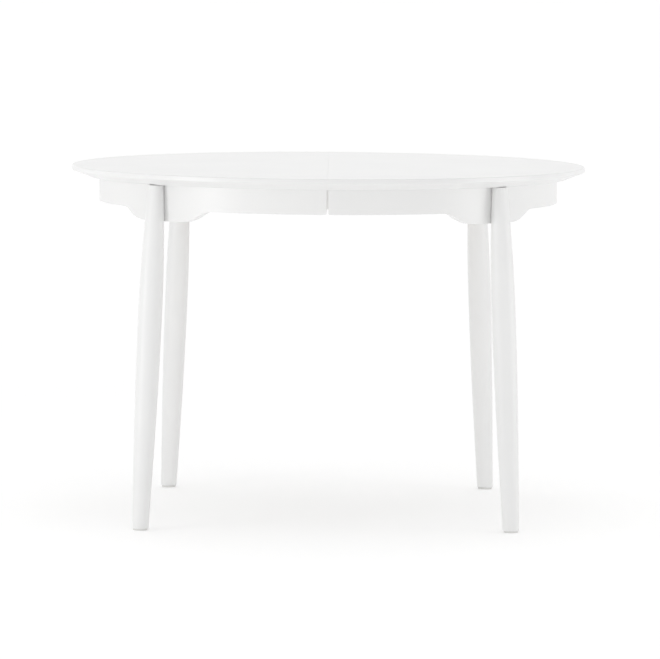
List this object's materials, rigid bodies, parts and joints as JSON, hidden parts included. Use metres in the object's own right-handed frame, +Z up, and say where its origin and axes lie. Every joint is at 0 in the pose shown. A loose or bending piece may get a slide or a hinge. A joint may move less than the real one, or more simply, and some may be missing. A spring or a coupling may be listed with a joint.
{
  "type": "extendable dining table",
  "caption": "Round dining table with a split top on a curved apron and splayed turned legs; the halves draw apart on slides for a leaf.",
  "frame": {"origin": "on the floor, below the middle of the closed top", "axes": "+Z up; X runs from left to right across the seam, and the right half draws out along +X; -Y is the front"},
  "size_m": [1.0998, 1.1, 0.745],
  "materials": {
    "white_lacquer": "satin white lacquer on wood",
    "beech": "planed beech, soaped",
    "slide_wood": "hardwood painted white",
    "zinc_steel": "bright zinc plate",
    "brass": "turned brass",
    "white_nylon": "moulded nylon"
  },
  "bodies": {
    "left_half": {"top_left": "white_lacquer", "apron_left_front": "white_lacquer", "apron_left_side": "white_lacquer", "apron_left_back": "white_lacquer", "leg_front_left": "white_lacquer", "glide_front_left": "white_nylon", "corner_block_front_left": "beech", "leg_back_left": "white_lacquer", "glide_back_left": "white_nylon", "corner_block_back_left": "beech", "leg_bolts_left": "zinc_steel", "leg_washers_left": "zinc_steel", "leg_inserts_left": "brass", "apron_blocks_left": "beech", "bearer_left": "beech", "top_screws_left": "zinc_steel", "catch_screws_left": "zinc_steel", "slide_outer_front": "slide_wood", "catch_plate_front": "zinc_steel", "catch_rivet_front": "zinc_steel", "slide_outer_back": "slide_wood", "catch_plate_back": "zinc_steel", "catch_rivet_back": "zinc_steel", "seam_pins": "brass"},
    "right_half": {"top_right": "white_lacquer", "apron_right_front": "white_lacquer", "apron_right_side": "white_lacquer", "apron_right_back": "white_lacquer", "leg_front_right": "white_lacquer", "glide_front_right": "white_nylon", "corner_block_front_right": "beech", "leg_back_right": "white_lacquer", "glide_back_right": "white_nylon", "corner_block_back_right": "beech", "leg_bolts_right": "zinc_steel", "leg_washers_right": "zinc_steel", "leg_inserts_right": "brass", "apron_blocks_right": "beech", "bearer_right": "beech", "top_screws_right": "zinc_steel", "catch_screws_right": "zinc_steel", "slide_inner_front": "slide_wood", "catch_keeper_front": "zinc_steel", "slide_inner_back": "slide_wood", "catch_keeper_back": "zinc_steel", "seam_bushes": "white_nylon"},
    "middle_rail_front": {"slide_middle_front": "slide_wood", "stop_pins_front": "zinc_steel"},
    "catch_front": {"catch_lever_front": "zinc_steel"},
    "middle_rail_back": {"slide_middle_back": "slide_wood", "stop_pins_back": "zinc_steel"},
    "catch_back": {"catch_lever_back": "zinc_steel"}
  },
  "joints": [
    {"name": "extend", "type": "slide", "parent": "left_half", "child": "right_half", "axis": [1, 0, 0], "range_m": [0, 0.52]},
    {"name": "middle_rail_front_slide", "type": "slide", "parent": "left_half", "child": "middle_rail_front", "axis": [1, 0, 0], "range_m": [0, 0.26]},
    {"name": "middle_rail_back_slide", "type": "slide", "parent": "left_half", "child": "middle_rail_back", "axis": [1, 0, 0], "range_m": [0, 0.26]},
    {"name": "catch_front_turn", "type": "hinge", "parent": "left_half", "child": "catch_front", "pos_m": [-0.026, -0.13043, 0.71575], "axis": [0, 0, 1], "range_deg": [0, 90]},
    {"name": "catch_back_turn", "type": "hinge", "parent": "left_half", "child": "catch_back", "pos_m": [-0.026, 0.13043, 0.71575], "axis": [0, 0, -1], "range_deg": [0, 90]}
  ],
  "couplings": [
    {"joint": "middle_rail_front_slide", "follows": "extend", "ratio": 0.5},
    {"joint": "middle_rail_back_slide", "follows": "extend", "ratio": 0.5}
  ]
}
